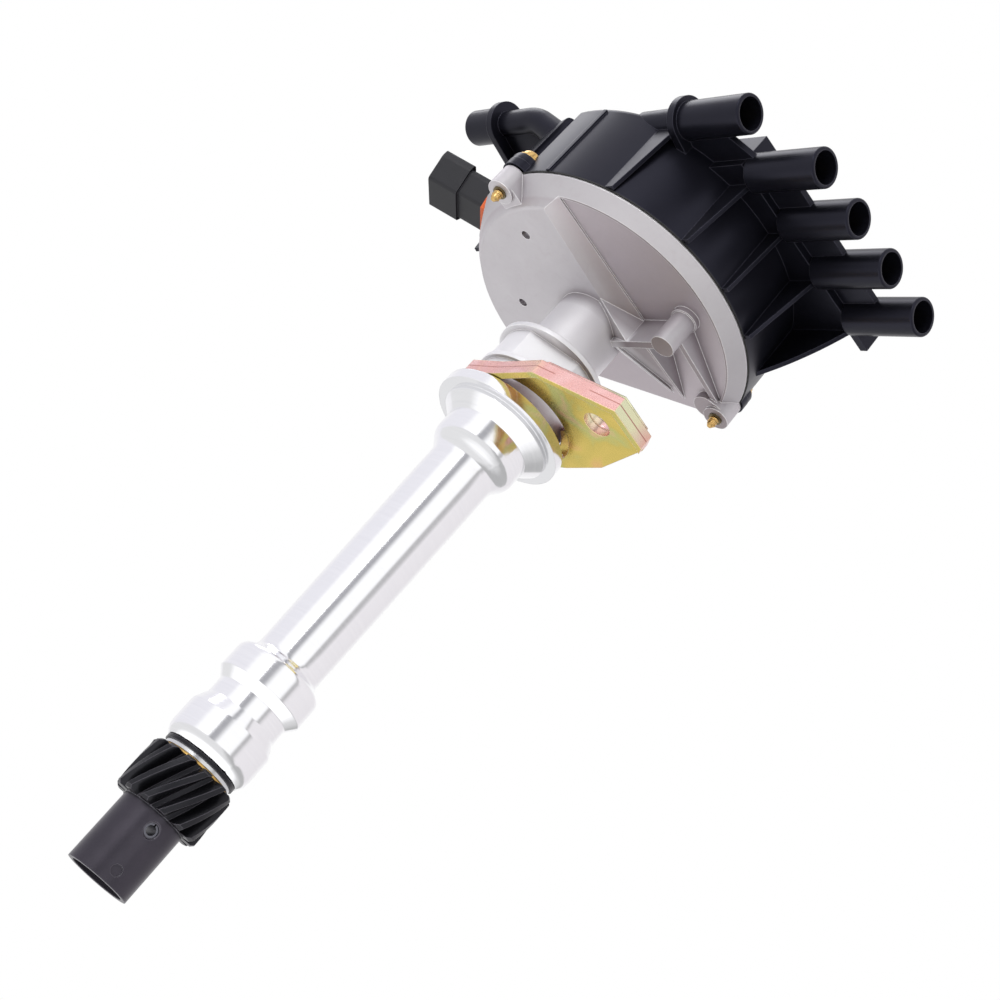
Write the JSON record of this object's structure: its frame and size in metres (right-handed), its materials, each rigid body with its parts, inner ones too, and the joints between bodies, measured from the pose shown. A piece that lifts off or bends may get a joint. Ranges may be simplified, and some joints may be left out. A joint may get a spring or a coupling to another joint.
{
  "type": "ignition distributor",
  "caption": "Ignition distributor: helical gear and shaft in a slim turned column, bowl-shaped base, flat black cap with side-facing cable towers and a hold-down clamp.",
  "frame": {"origin": "on the shaft axis, in the plane of the mounting collar's underside, which sits on the engine", "axes": "+Z along the shaft from the gear to the cap, +X the way the right-hand cable towers and the clamp point"},
  "size_m": [0.205, 0.1251, 0.3275],
  "materials": {
    "cast_aluminium": "cast, turned below the collar",
    "bronze": "sintered",
    "seal_rubber": "matt",
    "steel": "ground",
    "black_steel": "phosphated",
    "brass": "rolled",
    "zinc_dichromate": "yellow zinc plate",
    "black_plastic": "satin moulded",
    "carbon": "pressed carbon",
    "rotor_plastic": "moulded",
    "sensor_plastic": "moulded",
    "orange_silicone": "silicone"
  },
  "bodies": {
    "housing_body": {"housing": "cast_aluminium", "lower_bushing": "bronze", "upper_bushing": "bronze", "shaft_seal": "seal_rubber", "cap": "black_plastic", "cap_gasket": "seal_rubber", "cap_terminals": "brass", "tower_terminals": "brass", "button_spring": "steel", "screw_inserts": "brass", "cap_screws": "zinc_dichromate", "cam_sensor": "sensor_plastic", "sensor_screws": "steel", "sensor_seal": "orange_silicone", "sensor_connector": "sensor_plastic", "connector_pins": "brass"},
    "shaft_body": {"main_shaft": "steel", "drive_gear": "black_steel", "roll_pin": "black_steel", "spacer_washer": "black_steel", "thrust_washer": "steel", "brass_shim": "brass", "vane_wheel": "steel", "rotor": "rotor_plastic", "rotor_blade": "brass", "contact_spring": "brass", "rotor_screws": "steel"},
    "clamp_body": {"hold_down_clamp": "zinc_dichromate"},
    "button_body": {"carbon_button": "carbon"}
  },
  "joints": [
    {"name": "shaft_spin", "type": "hinge", "parent": "housing_body", "child": "shaft_body", "pos_m": [0, 0, 0], "axis": [0, 0, 1], "continuous": true},
    {"name": "clamp_swivel", "type": "hinge", "parent": "housing_body", "child": "clamp_body", "pos_m": [0, 0, 0], "axis": [0, 0, 1], "continuous": true},
    {"name": "button_slide", "type": "slide", "parent": "housing_body", "child": "button_body", "axis": [0, 0, 1], "range_m": [0, 0.0015], "stiffness_N_per_m": 200, "deforming": ["button_spring"]}
  ]
}
